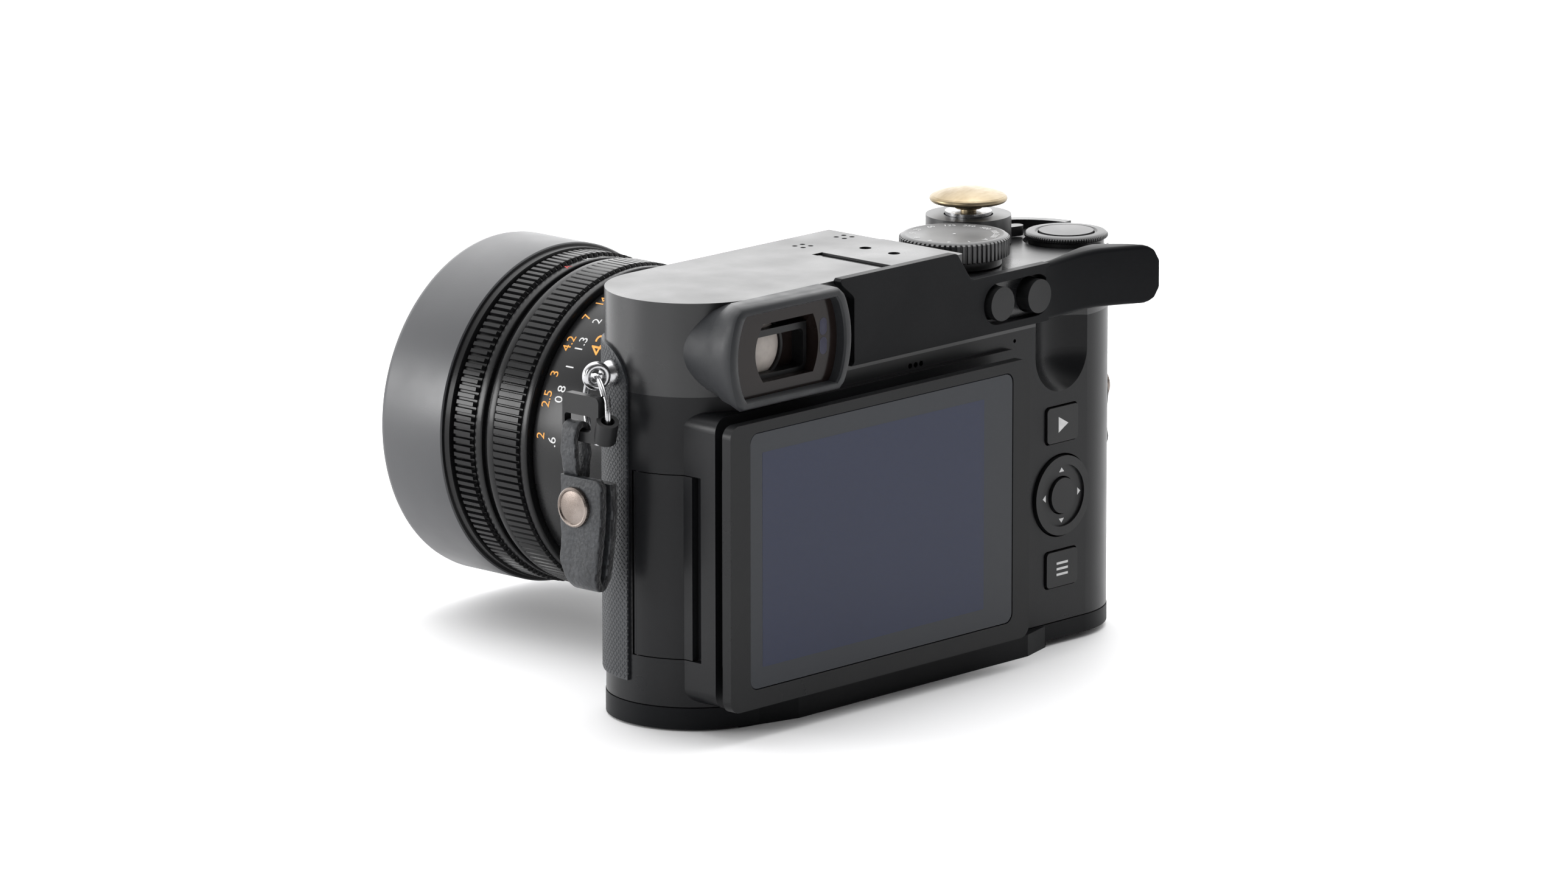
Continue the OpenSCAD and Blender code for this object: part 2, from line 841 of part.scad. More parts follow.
right_side() strap_rivet();  // strap_rivet_right
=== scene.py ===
"""Looks of the rangefinder-style camera: studio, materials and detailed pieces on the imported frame."""
import json
from math import cos, pi, radians, sin, sqrt

import bmesh
import bpy
from mathutils import Matrix, Vector


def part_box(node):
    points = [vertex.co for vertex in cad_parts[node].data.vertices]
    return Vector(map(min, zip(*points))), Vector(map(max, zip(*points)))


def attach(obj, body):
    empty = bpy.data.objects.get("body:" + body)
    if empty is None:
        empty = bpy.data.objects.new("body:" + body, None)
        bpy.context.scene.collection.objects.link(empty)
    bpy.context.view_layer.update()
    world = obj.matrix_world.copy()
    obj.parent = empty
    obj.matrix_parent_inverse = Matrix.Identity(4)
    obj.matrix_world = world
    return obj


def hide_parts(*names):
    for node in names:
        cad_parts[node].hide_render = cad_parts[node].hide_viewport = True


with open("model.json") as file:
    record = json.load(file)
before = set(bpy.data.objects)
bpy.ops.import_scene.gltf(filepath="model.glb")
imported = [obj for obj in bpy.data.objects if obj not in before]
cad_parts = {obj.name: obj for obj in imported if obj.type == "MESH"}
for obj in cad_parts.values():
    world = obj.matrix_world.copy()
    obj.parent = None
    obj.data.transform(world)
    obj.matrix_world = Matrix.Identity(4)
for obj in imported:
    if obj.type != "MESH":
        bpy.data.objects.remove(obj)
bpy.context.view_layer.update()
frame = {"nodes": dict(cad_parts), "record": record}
NODES = frame["nodes"]
MM = 0.001


# ---------------------------------------------------------------- camera
# The viewing direction, distance and framing solved for the photograph's perspective.
VIEW_AZIMUTH = radians(132.97)
VIEW_ELEVATION = radians(12.83)
VIEW_ROLL = radians(-0.06)
VIEW_SIDE = -15.13 * MM
VIEW_RISE = 44.39 * MM
VIEW_DISTANCE = 1918.7 * MM
SENSOR_WIDTH = 36
FOCAL_LENGTH = 222.3


def make_camera():
    cam = bpy.data.cameras.new("view_camera")
    cam.sensor_width = SENSOR_WIDTH
    cam.lens = FOCAL_LENGTH
    cam.clip_end = 20
    obj = bpy.data.objects.new("view_camera", cam)
    bpy.context.scene.collection.objects.link(obj)
    back = Vector((
        sin(VIEW_AZIMUTH) * cos(VIEW_ELEVATION),
        -cos(VIEW_AZIMUTH) * cos(VIEW_ELEVATION),
        sin(VIEW_ELEVATION),
    ))
    right = (-back).cross(Vector((0, 0, 1))).normalized()
    up = right.cross(-back)
    rolled_right = cos(VIEW_ROLL) * right + sin(VIEW_ROLL) * up
    rolled_up = cos(VIEW_ROLL) * up - sin(VIEW_ROLL) * right
    turn = Matrix((rolled_right, rolled_up, back)).transposed().to_4x4()
    place = Matrix.Translation(right * VIEW_SIDE + up * VIEW_RISE + back * VIEW_DISTANCE)
    obj.matrix_world = place @ turn
    bpy.context.scene.camera = obj


# ---------------------------------------------------------------- studio
BRIGHT_SIDE = (-0.62, -0.58, 0.53)
ROOM_BRIGHT = 2.6
ROOM_DIM = 0.12
OVERHEAD_POWER = 0.9
FLOOR_HALF = 6


def area_light(name, place, aim, size, power, colour=(1, 1, 1)):
    light = bpy.data.lights.new(name, "AREA")
    light.shape = "RECTANGLE"
    light.size, light.size_y = size
    light.energy = power
    light.color = colour
    obj = bpy.data.objects.new(name, light)
    bpy.context.scene.collection.objects.link(obj)
    obj.location = place
    obj.rotation_euler = (Vector(aim) - Vector(place)).to_track_quat("-Z", "Y").to_euler()


def soft_room():
    """A pale room that is bright behind the object and dim where the viewer stands."""
    world = bpy.data.worlds.new("studio")
    world.use_nodes = True
    tree = world.node_tree
    way = tree.nodes.new("ShaderNodeTexCoord").outputs["Generated"]
    dot = tree.nodes.new("ShaderNodeVectorMath")
    dot.operation = "DOT_PRODUCT"
    tree.links.new(way, dot.inputs[0])
    dot.inputs[1].default_value = BRIGHT_SIDE
    ramp = tree.nodes.new("ShaderNodeMapRange")
    ramp.interpolation_type = "SMOOTHSTEP"
    ramp.inputs["From Min"].default_value = -0.2
    ramp.inputs["From Max"].default_value = 0.95
    ramp.inputs["To Min"].default_value = ROOM_DIM
    ramp.inputs["To Max"].default_value = ROOM_BRIGHT
    tree.links.new(dot.outputs["Value"], ramp.inputs["Value"])
    shade = tree.nodes["Background"]
    shade.inputs["Color"].default_value = (1, 1, 1, 1)
    tree.links.new(ramp.outputs["Result"], shade.inputs["Strength"])
    bpy.context.scene.world = world


def make_studio():
    bpy.context.scene.view_settings.view_transform = "Standard"
    soft_room()
    sun = bpy.data.lights.new("overhead", "SUN")
    sun.energy = OVERHEAD_POWER
    sun.angle = radians(50)
    lamp = bpy.data.objects.new("overhead", sun)
    lamp.rotation_euler = (radians(8), radians(-10), 0)
    bpy.context.scene.collection.objects.link(lamp)
    middle = (0, -0.01, 0.04)
    area_light("left_box", (0.9, -0.88, 0.26), middle, (0.5, 0.4), 8)
    area_light("side_box", (1.15, 0.12, 0.42), middle, (0.35, 0.6), 3.2)
    corners = [(x * FLOOR_HALF, y * FLOOR_HALF, 0) for x, y in ((-1, -1), (1, -1), (1, 1), (-1, 1))]
    mesh = bpy.data.meshes.new("floor")
    mesh.from_pydata(corners, [], [(0, 1, 2, 3)])
    floor = bpy.data.objects.new("floor", mesh)
    bpy.context.scene.collection.objects.link(floor)
    floor.data.materials.append(plain_floor())


def plain_floor():
    m = bpy.data.materials.new("floor_white")
    m.use_nodes = True
    shader = m.node_tree.nodes["Principled BSDF"]
    shader.inputs["Base Color"].default_value = (0.93, 0.93, 0.935, 1)
    shader.inputs["Roughness"].default_value = 0.6
    shader.inputs["Specular IOR Level"].default_value = 0.2
    return m


# ---------------------------------------------------------------- materials
class Maker:
    """A small helper that adds and links nodes of one material."""

    def __init__(self, name):
        self.material = bpy.data.materials.new(name)
        self.material.use_nodes = True
        self.tree = self.material.node_tree
        self.shader = self.tree.nodes["Principled BSDF"]
        self.coords = self.add("ShaderNodeTexCoord").outputs["Object"]

    def add(self, kind, **settings):
        node = self.tree.nodes.new(kind)
        for key, value in settings.items():
            setattr(node, key, value)
        return node

    def feed(self, socket, value):
        if isinstance(value, bpy.types.NodeSocket):
            self.tree.links.new(value, socket)
        else:
            socket.default_value = value

    def set(self, **values):
        for key, value in values.items():
            self.feed(self.shader.inputs[key.replace("_", " ")], value)

    def noise(self, scale, detail=4.0, stretch=None):
        node = self.add("ShaderNodeTexNoise")
        self.feed(node.inputs["Vector"], self.stretched(stretch))
        node.inputs["Scale"].default_value = scale
        node.inputs["Detail"].default_value = detail
        return node.outputs["Fac"]

    def stretched(self, stretch):
        if stretch is None:
            return self.coords
        node = self.add("ShaderNodeVectorMath", operation="MULTIPLY")
        self.feed(node.inputs[0], self.coords)
        node.inputs[1].default_value = stretch
        return node.outputs[0]

    def cells(self, scale, feature="DISTANCE_TO_EDGE"):
        node = self.add("ShaderNodeTexVoronoi", feature=feature)
        self.feed(node.inputs["Vector"], self.coords)
        node.inputs["Scale"].default_value = scale
        return node.outputs["Distance"]

    def spread(self, value, low, high, start=0.3, end=0.7):
        node = self.add("ShaderNodeMapRange")
        self.feed(node.inputs["Value"], value)
        node.inputs["From Min"].default_value = start
        node.inputs["From Max"].default_value = end
        node.inputs["To Min"].default_value = low
        node.inputs["To Max"].default_value = high
        return node.outputs["Result"]

    def blend(self, factor, first, second):
        node = self.add("ShaderNodeMix", data_type="RGBA")
        self.feed(node.inputs[0], factor)
        self.feed(node.inputs[6], (*first, 1))
        self.feed(node.inputs[7], (*second, 1))
        return node.outputs[2]

    def math(self, operation, first, second=0.0):
        node = self.add("ShaderNodeMath", operation=operation)
        self.feed(node.inputs[0], first)
        self.feed(node.inputs[1], second)
        return node.outputs[0]

    def bump(self, height, strength, distance, under=None):
        node = self.add("ShaderNodeBump")
        self.feed(node.inputs["Height"], height)
        node.inputs["Strength"].default_value = strength
        node.inputs["Distance"].default_value = distance
        if under is not None:
            self.feed(node.inputs["Normal"], under)
        self.feed(self.shader.inputs["Normal"], node.outputs["Normal"])
        return node.outputs["Normal"]

    def axes(self):
        node = self.add("ShaderNodeSeparateXYZ")
        self.feed(node.inputs[0], self.coords)
        return node.outputs[0], node.outputs[1], node.outputs[2]


def lacquer(name, dark, light, rough, grain=2600.0, depth=0.12, gloss=0.5, metallic=0.0, coat=0.0):
    """Black lacquer or anodising: fine grain, slow change of gloss and shade."""
    m = Maker(name)
    m.set(Base_Color=m.blend(m.spread(m.noise(38), 0, 1), dark, light))
    m.set(Roughness=m.spread(m.noise(60, 6), rough - 0.05, rough + 0.07))
    m.set(Metallic=metallic, Coat_Weight=coat, Coat_Roughness=0.2, Specular_IOR_Level=gloss)
    m.bump(m.noise(grain, 2), depth, 0.00006)
    return m.material


def turned_metal(name, dark, light, rough, stretch):
    """Bare metal with fine machining marks."""
    m = Maker(name)
    marks = m.noise(900, 3, stretch)
    m.set(Base_Color=m.blend(m.spread(m.noise(120), 0, 1), dark, light))
    m.set(Roughness=m.spread(marks, rough - 0.06, rough + 0.1), Metallic=1.0)
    m.bump(marks, 0.12, 0.00004)
    return m.material


def worn_brass():
    m = Maker("worn_brass")
    scuffs = m.noise(520, 8, (1, 3, 1))
    clouds = m.noise(140, 5)
    colour = m.blend(m.spread(clouds, 0, 1), (0.22, 0.17, 0.1), (0.36, 0.3, 0.205))
    m.set(Base_Color=colour, Metallic=1.0)
    m.set(Roughness=m.spread(scuffs, 0.3, 0.46))
    m.bump(scuffs, 0.2, 0.00005)
    return m.material


def leatherette():
    m = Maker("leatherette")
    grain = m.noise(2600, 4)
    wear = m.noise(110, 4)
    m.set(Base_Color=m.blend(m.math("MULTIPLY", m.spread(grain, 0.4, 1.0), m.spread(wear, 0.7, 1.0)),
                             (0.007, 0.0076, 0.0086), (0.03, 0.033, 0.038)))
    m.set(Roughness=m.spread(grain, 0.4, 0.56), Specular_IOR_Level=0.4)
    m.bump(grain, 0.3, 0.00012)
    return m.material


def pebbled_leather():
    m = Maker("pebbled_leather")
    grain = m.noise(1300, 3)
    folds = m.noise(260, 8, (1, 1, 0.5))
    worn = m.noise(90, 3)
    m.set(Base_Color=m.blend(m.math("MULTIPLY", m.spread(grain, 0.25, 1.0), m.spread(worn, 0.45, 1.0)),
                             (0.005, 0.0055, 0.0065), (0.034, 0.037, 0.042)))
    m.set(Roughness=m.spread(folds, 0.42, 0.6), Specular_IOR_Level=0.4)
    creases = m.bump(folds, 0.6, 0.0006)
    m.bump(grain, 0.7, 0.00022, creases)
    return m.material


def raw_leather_edge():
    m = Maker("raw_leather_edge")
    fibres = m.noise(1800, 10, (1, 1, 0.35))
    m.set(Base_Color=m.blend(m.spread(fibres, 0, 1), (0.006, 0.006, 0.007), (0.03, 0.031, 0.033)))
    m.set(Roughness=0.95, Sheen_Weight=0.25, Specular_IOR_Level=0.15)
    m.bump(fibres, 1.0, 0.0006)
    return m.material


def soft_rubber():
    m = Maker("soft_rubber")
    m.set(Base_Color=m.blend(m.spread(m.noise(45), 0, 1), (0.0125, 0.0135, 0.0155), (0.018, 0.0192, 0.0215)))
    m.set(Roughness=m.spread(m.noise(240, 5), 0.42, 0.56), Sheen_Weight=0.02, Specular_IOR_Level=0.28)
    m.bump(m.noise(3200, 2), 0.18, 0.00008)
    return m.material


def glossy_pane(name, tint, rough, gloss=0.5):
    """A dark pane seen from outside: flat colour under a clear, slightly uneven surface."""
    m = Maker(name)
    m.set(Base_Color=m.blend(m.spread(m.noise(12), 0, 1), tint, [c * 1.15 for c in tint]))
    m.set(Roughness=m.spread(m.noise(30, 3), rough - 0.02, rough + 0.03), IOR=1.5, Specular_IOR_Level=gloss)
    return m.material


def lens_coating(name, tint):
    m = Maker(name)
    m.set(Base_Color=m.blend(m.spread(m.noise(25), 0, 1), tint, (0.018, 0.011, 0.026)))
    m.set(Roughness=0.03, IOR=1.5, Specular_IOR_Level=0.25)
    return m.material


def ink(name, colour):
    m = Maker(name)
    m.set(Base_Color=m.blend(m.spread(m.noise(700), 0, 1), [c * 0.86 for c in colour], colour))
    m.set(Roughness=m.spread(m.noise(500), 0.5, 0.65))
    return m.material


def circuit_board():
    m = Maker("circuit_board")
    m.set(Base_Color=m.blend(m.spread(m.noise(300, 2), 0, 1), (0.01, 0.09, 0.045), (0.02, 0.15, 0.075)))
    m.set(Roughness=m.spread(m.noise(200), 0.35, 0.5))
    m.bump(m.cells(420), 0.3, 0.0001)
    return m.material


def make_materials():
    black = (0.0075, 0.0078, 0.0088)
    return {
        "body_black": lacquer("body_black", black, (0.0105, 0.0108, 0.012), 0.3, 2200, 0.12, 0.17),
        "cover_black": lacquer("cover_black", black, (0.011, 0.0113, 0.0125), 0.3, 3000, 0.14, 0.5),
        "top_black": lacquer(
            "top_black", (0.016, 0.0163, 0.0175), (0.022, 0.0223, 0.0235), 0.36, 3000, 0.16, 0.7,
        ),
        "panel_black": lacquer(
            "panel_black", (0.0075, 0.0078, 0.0085), (0.0105, 0.0108, 0.0115), 0.3, 2600, 0.1, 0.15,
        ),
        "accessory_black": lacquer(
            "accessory_black", (0.006, 0.0065, 0.0075), (0.0085, 0.0088, 0.0098), 0.42, 3600, 0.2, 0.07,
        ),
        "leatherette": leatherette(),
        "strap_leather": pebbled_leather(),
        "leather_edge": raw_leather_edge(),
        "rubber": soft_rubber(),
        "lens_black": lacquer(
            "lens_black", (0.0045, 0.0045, 0.005), (0.0075, 0.0075, 0.008), 0.26, 2600, 0.1, 0.2,
        ),
        "hood_grey": lacquer("hood_grey", (0.03, 0.031, 0.035), (0.038, 0.039, 0.043), 0.38, 3000, 0.16, 0.6),
        "screen_glass": glossy_pane("screen_glass", (0.015, 0.0175, 0.0225), 0.09, 0.27),
                "lens_glass": lens_coating("lens_glass", (0.006, 0.014, 0.017)),
        "lcd": glossy_pane("lcd", (0.0105, 0.0155, 0.041), 0.09, 0.27),
        "polished_steel": turned_metal(
            "polished_steel", (0.34, 0.34, 0.35), (0.52, 0.52, 0.53), 0.2, (1, 1, 4),
        ),
        "steel": turned_metal("steel", (0.32, 0.32, 0.33), (0.5, 0.5, 0.51), 0.34, (1, 1, 5)),
        "brass": worn_brass(),
        "rivet_metal": turned_metal("rivet_metal", (0.14, 0.115, 0.1), (0.27, 0.235, 0.215), 0.26, (1, 4, 4)),
        "plastic_black": lacquer(
            "plastic_black", (0.0075, 0.0077, 0.0083), (0.011, 0.0112, 0.012), 0.4, 2800, 0.14, 0.25,
        ),
        "board_green": circuit_board(),
        "battery_grey": lacquer("battery_grey", (0.02, 0.02, 0.022), (0.03, 0.03, 0.033), 0.5, 1800, 0.2),
        "white_ink": ink("white_ink", (0.62, 0.62, 0.62)),
        "orange_ink": ink("orange_ink", (0.8, 0.34, 0.05)),
        "red_ink": ink("red_ink", (0.5, 0.04, 0.04)),
        "ocular_brown": glossy_pane("ocular_brown", (0.011, 0.0075, 0.0068), 0.16, 0.2),
        # the eyepiece lens: its pale matte colour is a painted reflection of the room in the glass
        "ocular_painted_reflection": ink("ocular_painted_reflection", (0.42, 0.38, 0.35)),
        "sensor_dots": ink("sensor_dots", (0.02, 0.02, 0.045)),
    }


# ---------------------------------------------------------------- mesh helpers
def finish_mesh(name, bm, body, material, replaced=(), smooth_angle=35, bevel=0.0):
    """Turns a bmesh in millimetres into a piece that rides on a body."""
    bmesh.ops.remove_doubles(bm, verts=bm.verts, dist=1e-4)
    bmesh.ops.recalc_face_normals(bm, faces=bm.faces)
    bmesh.ops.scale(bm, vec=(MM, MM, MM), verts=bm.verts)
    for edge in bm.edges:
        edge.smooth = len(edge.link_faces) == 2 and edge.calc_face_angle(0) < radians(smooth_angle)
    for face in bm.faces:
        face.smooth = True
    mesh = bpy.data.meshes.new(name)
    bm.to_mesh(mesh)
    bm.free()
    obj = bpy.data.objects.new(name, mesh)
    bpy.context.scene.collection.objects.link(obj)
    mesh.materials.append(MATERIALS[material])
    if bevel:
        round_edges(obj, bevel)
    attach(obj, body)
    if replaced:
        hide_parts(*replaced)
    return obj


def round_edges(obj, width, segments=3, angle=32):
    bevel = obj.modifiers.new("round_edges", "BEVEL")
    bevel.width = width * MM
    bevel.segments = segments
    bevel.limit_method = "ANGLE"
    bevel.angle_limit = radians(angle)
    bevel.harden_normals = True
    bevel.use_clamp_overlap = True


def lathe(bm, profile, centre, axis="Y", count=144, radius_at=None, closed=True):
    """Turns profile points (along, radius) about the axis; radius_at(i, k, r) may change a radius."""
    rings = []
    for k in range(count):
        turn = 2 * pi * k / count
        ring = []
        for i, (along, r) in enumerate(profile):
            if radius_at:
                r = radius_at(i, k, r)
            if axis == "Y":
                point = (centre[0] + r * cos(turn), along, centre[2] + r * sin(turn))
            elif axis == "X":
                point = (along, centre[1] + r * cos(turn), centre[2] + r * sin(turn))
            else:
                point = (centre[0] + r * cos(turn), centre[1] + r * sin(turn), along)
            ring.append(bm.verts.new(point))
        rings.append(ring)
    spans = len(profile) if closed else len(profile) - 1
    for k in range(count):
        a, b = rings[k], rings[(k + 1) % count]
        for i in range(spans):
            j = (i + 1) % len(profile)
            bm.faces.new((a[i], a[j], b[j], b[i]))
    if not closed:
        for end in (0, -1):
            if profile[end][1] > 1e-6:
                bm.faces.new([ring[end] for ring in rings])
    return rings


def rounded_profile(y0, y1, inner, outer, edge=0.3, steps=3):
    """A closed section of a ring with rounded outer corners."""
    points = [(y0, inner), (y0, outer - edge)]
    for s in range(1, steps + 1):
        t = pi / 2 * s / steps
        points.append((y0 + edge * (1 - cos(t)), outer - edge + edge * sin(t)))
    for s in range(steps + 1):
        t = pi / 2 * s / steps
        points.append((y1 - edge + edge * sin(t), outer - edge + edge * cos(t)))
    points.append((y1, inner))
    return points


def rounded_loop(width, height, radius, corner=8):
    """Points of a rounded rectangle about the origin, counter-clockwise."""
    points = []
    for cx, cy, start in ((1, 1, 0), (-1, 1, 90), (-1, -1, 180), (1, -1, 270)):
        for k in range(corner + 1):
            t = radians(start + 90 * k / corner)
            points.append((
                cx * (width / 2 - radius) + radius * cos(t),
                cy * (height / 2 - radius) + radius * sin(t),
            ))
    return points


def loft(bm, sections, cap=True):
    """Joins loops with equal counts of points into a skin."""
    rows = [[bm.verts.new(p) for p in loop] for loop in sections]
    for a, b in zip(rows, rows[1:]):
        for i in range(len(a)):
            j = (i + 1) % len(a)
            bm.faces.new((a[i], a[j], b[j], b[i]))
    if cap:
        bm.faces.new(rows[0])
        bm.faces.new(rows[-1])
    return rows


def mm_box(node):
    low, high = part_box(node)
    return [v / MM for v in low], [v / MM for v in high]


def centre_of(node):
    low, high = mm_box(node)
    return [(a + b) / 2 for a, b in zip(low, high)]


# ---------------------------------------------------------------- lens
def knurl(bm, y0, y1, outer, depth, teeth, centre, duty=0.58):
    """A band of straight ribs with sloping ends round the lens axis."""
    steps = 8
    slope = 0.35

    def tooth(i, k, r):
        phase = (k % steps) / steps
        return r if phase < duty or i in (0, 1, 4, 5) else r - depth

    profile = [
        (y0, outer - depth - 0.6), (y0, outer - depth), (y0 + slope, outer),
        (y1 - slope, outer), (y1, outer - depth), (y1, outer - depth - 0.6),
    ]
    lathe(bm, profile, centre, "Y", teeth * steps, tooth, closed=True)


def make_rings():
    low, high = mm_box("aperture_ring")
    centre = centre_of("aperture_ring")
    outer = (high[0] - low[0]) / 2
    inner = 28.3
    bm = bmesh.new()
    knurl(bm, low[1] + 0.35, low[1] + 5.6, outer, 0.75, 138, centre)
    lathe(bm, rounded_profile(low[1], low[1] + 5.9, inner, outer - 1.0, 0.15), centre)
    lathe(bm, rounded_profile(low[1] + 5.7, high[1], inner, outer - 0.7, 0.35), centre)
    finish_mesh("aperture_ring_detail", bm, "aperture_ring", "lens_black", ["aperture_ring"], 40)

    low, high = mm_box("focus_ring")
    outer = (high[0] - low[0]) / 2
    bm = bmesh.new()
    knurl(bm, low[1] + 1.9, low[1] + 9.0, outer, 0.55, 136, centre, 0.66)
    lathe(bm, rounded_profile(low[1], low[1] + 2.0, inner, outer - 0.35, 0.35), centre)
    lathe(bm, rounded_profile(low[1] + 1.9, high[1] - 1.9, inner, outer - 0.75, 0.1), centre)
    lathe(bm, rounded_profile(high[1] - 2.0, high[1], inner, outer - 0.5, 0.45), centre)
    finish_mesh("focus_ring_detail", bm, "focus_ring", "lens_black", ["focus_ring"], 40)

    low, high = mm_box("macro_ring")
    outer = (high[0] - low[0]) / 2
    bm = bmesh.new()
    lathe(bm, rounded_profile(low[1], high[1], inner, outer, 0.4), centre)
    finish_mesh("macro_ring_detail", bm, "macro_ring", "lens_black", ["macro_ring"])


def make_hood():
    low, high = mm_box("lens_hood")
    centre = centre_of("lens_hood")
    outer = (high[0] - low[0]) / 2
    wall, rear, lip = 1.7, -82.2, 0.85
    bore = 25.4
    profile = [
        (rear + 1.6, bore), (rear + 1.6, outer - 1.1), (rear + 1.45, outer - 0.85),
        (rear + 0.15, outer - 0.7), (rear, outer - 0.25), (rear - 0.3, outer),
        (low[1] + 1.4, outer), (low[1] + 0.55, outer - 0.16), (low[1] + 0.16, outer - 0.5),
        (low[1], outer - lip), (low[1] + 0.16, outer - wall + 0.3), (low[1] + 0.6, outer - wall),
        (rear - 1.8, outer - wall - 0.2), (rear - 1.6, outer - wall - 1.2), (rear - 1.6, bore),
    ]
    bm = bmesh.new()
    lathe(bm, profile, centre, "Y", 192)
    hood = finish_mesh("lens_hood_detail", bm, "camera", "hood_grey", ["lens_hood"], 38)
    hood.data.materials.append(MATERIALS["lens_black"])
    for face in hood.data.polygons:
        y = face.center[1] / MM
        radius = sqrt(face.center[0] ** 2 + (face.center[2] - centre[2] * MM) ** 2) / MM
        if y > rear - 0.05 or radius < outer - wall + 0.2:
            face.material_index = 1
    # baffle ribs inside the hood
    bm = bmesh.new()
    for k in range(6):
        y = low[1] + 2.2 + 1.7 * k
        r = outer - wall
        lathe(bm, [(y, r + 0.1), (y, r - 0.5), (y + 0.3, r - 0.7), (y + 0.6, r + 0.1)], centre)
    finish_mesh("hood_baffles", bm, "camera", "lens_black", smooth_angle=30)


def characters(words, size, detail, name):
    """The flat outline of some characters, centred on the origin, as a bmesh."""
    curve = bpy.data.curves.new(name, "FONT")
    curve.body = words
    curve.size = size
    curve.align_x = "CENTER"
    curve.align_y = "CENTER"
    curve.resolution_u = detail
    text = bpy.data.objects.new(name + "_source", curve)
    bpy.context.scene.collection.objects.link(text)
    bpy.context.view_layer.update()
    source = text.evaluated_get(bpy.context.evaluated_depsgraph_get())
    bm = bmesh.new()
    bm.from_mesh(source.to_mesh())
    bpy.data.objects.remove(text)
    return bm


def curved_label(words, size, centre, radius, turn, y, material, body, name):
    """Characters wrapped round the lens axis, reading upwards on the +X side."""
    bm = characters(words, size, 3, name)
    for v in bm.verts:
        t = turn + v.co.x / radius
        v.co = Vector((centre[0] + radius * cos(t), y - v.co.y, centre[2] + radius * sin(t)))
    return finish_mesh(name, bm, body, material, smooth_angle=60)


def make_scales():
    low, high = mm_box("macro_ring")
    centre = centre_of("macro_ring")
    radius = (high[0] - low[0]) / 2 + 0.03
    feet = (("2", 7.5), ("2.5", 21), ("3", 30.5), ("4.2", 43), ("7", 55.5), ("14", 64.5))
    metres = ((".6", 6), ("0.8", 23.5), ("1", 34), ("1.3", 43.5), ("2", 54.5), ("5", 63.5))
    for k, (words, turn) in enumerate(feet):
        curved_label(words, 3.0, centre, radius, radians(turn), low[1] + 2.3, "orange_ink",
                     "macro_ring", f"feet_mark_{k}")
    for k, (words, turn) in enumerate(metres):
        curved_label(words, 3.0, centre, radius, radians(turn), low[1] + 5.5, "white_ink",
                     "macro_ring", f"metre_mark_{k}")
    curved_label("43", 5.2, centre, radius, radians(45), low[1] + 10.3, "orange_ink",
                 "macro_ring", "focal_length_mark")
    low, high = mm_box("aperture_ring")
    radius = (high[0] - low[0]) / 2 - 0.66
    curved_label("A", 2.2, centre, radius, radians(78), high[1] - 1.1, "red_ink",
                 "aperture_ring", "aperture_auto_mark")
    for k, words in enumerate(("16", "11", "8", "5.6", "4", "2.8", "2")):
        curved_label(words, 1.9, centre, radius, radians(88 + 8 * k), high[1] - 1.1, "white_ink",
                     "aperture_ring", f"aperture_mark_{k}")


# ---------------------------------------------------------------- top controls
def ribbed_disc(name, node, teeth, depth, body, top_dish, replaced):
    """A round control with a ribbed rim, standing where its CAD node stands."""
    low, high = mm_box(node)
    centre = centre_of(node)
    outer = (high[0] - low[0]) / 2
    steps = 6

    def rib(i, k, r):
        return r - depth if i in (2, 3) and (k % steps) / steps > 0.55 else r

    profile = [
        (low[2] + top_dish["foot"], outer - depth - 0.4), (low[2] + top_dish["foot"] + 0.1, outer - depth),
        (low[2] + top_dish["foot"] + 0.35, outer), (high[2] - 0.55, outer), (high[2] - 0.3, outer - depth),
        (high[2] - 0.08, outer - depth - 0.25), (high[2], outer - depth - 0.6),
        (high[2], top_dish["rim"]), (high[2] - top_dish["depth"], top_dish["rim"] - 0.25),
        (high[2] - top_dish["depth"], top_dish["hole"]), (low[2] + top_dish["foot"], top_dish["hole"]),
    ]
    bm = bmesh.new()
    lathe(bm, profile, centre, "Z", teeth * steps, rib)
    return finish_mesh(name, bm, body, "top_black", replaced, 38)


def make_speed_dial():
    low, high = mm_box("speed_dial")
    centre = centre_of("speed_dial")
    ribbed_disc("speed_dial_rim", "speed_dial", 64, 0.42, "speed_dial",
                {"foot": 6.1, "rim": 9.6, "depth": 0.12, "hole": 0.01}, ["speed_dial"])
    bm = bmesh.new()
    foot, head = low[2] + 4.5, low[2] + 6.2
    lathe(bm, [(foot, 0.01), (foot, 9.4), (head, 9.4), (head, 0.01)], centre, "Z", 96)
    finish_mesh("speed_dial_neck", bm, "speed_dial", "top_black")
    labels = ("A", "2000", "1000", "500", "250", "125", "60", "30", "15", "8", "4", "2", "1")
    for k, words in enumerate(labels):
        flat_label(words, 1.75, centre, 8.2, radians(90 + 27.7 * k), high[2] - 0.09, "white_ink",
                   "speed_dial", f"dial_mark_{k}")
    bm = bmesh.new()
    dot_z = (high[2] - 0.1, high[2] - 0.06)
    lathe(bm, [(dot_z[0], 0.0), (dot_z[0], 0.3), (dot_z[1], 0.3), (dot_z[1], 0.0)], centre, "Z", 24)
    finish_mesh("dial_middle_dot", bm, "speed_dial", "white_ink")


def flat_label(words, size, centre, radius, turn, height, material, body, name):
    """Characters on a level face, set round a centre with their feet inwards."""
    bm = characters(words, size, 2, name)
    out = Vector((cos(turn), sin(turn), 0))
    along = Vector((sin(turn), -cos(turn), 0))
    middle = Vector((centre[0], centre[1], height)) + out * radius
    for v in bm.verts:
        v.co = middle + along * v.co.x + out * v.co.y
    return finish_mesh(name, bm, body, material, smooth_angle=60)


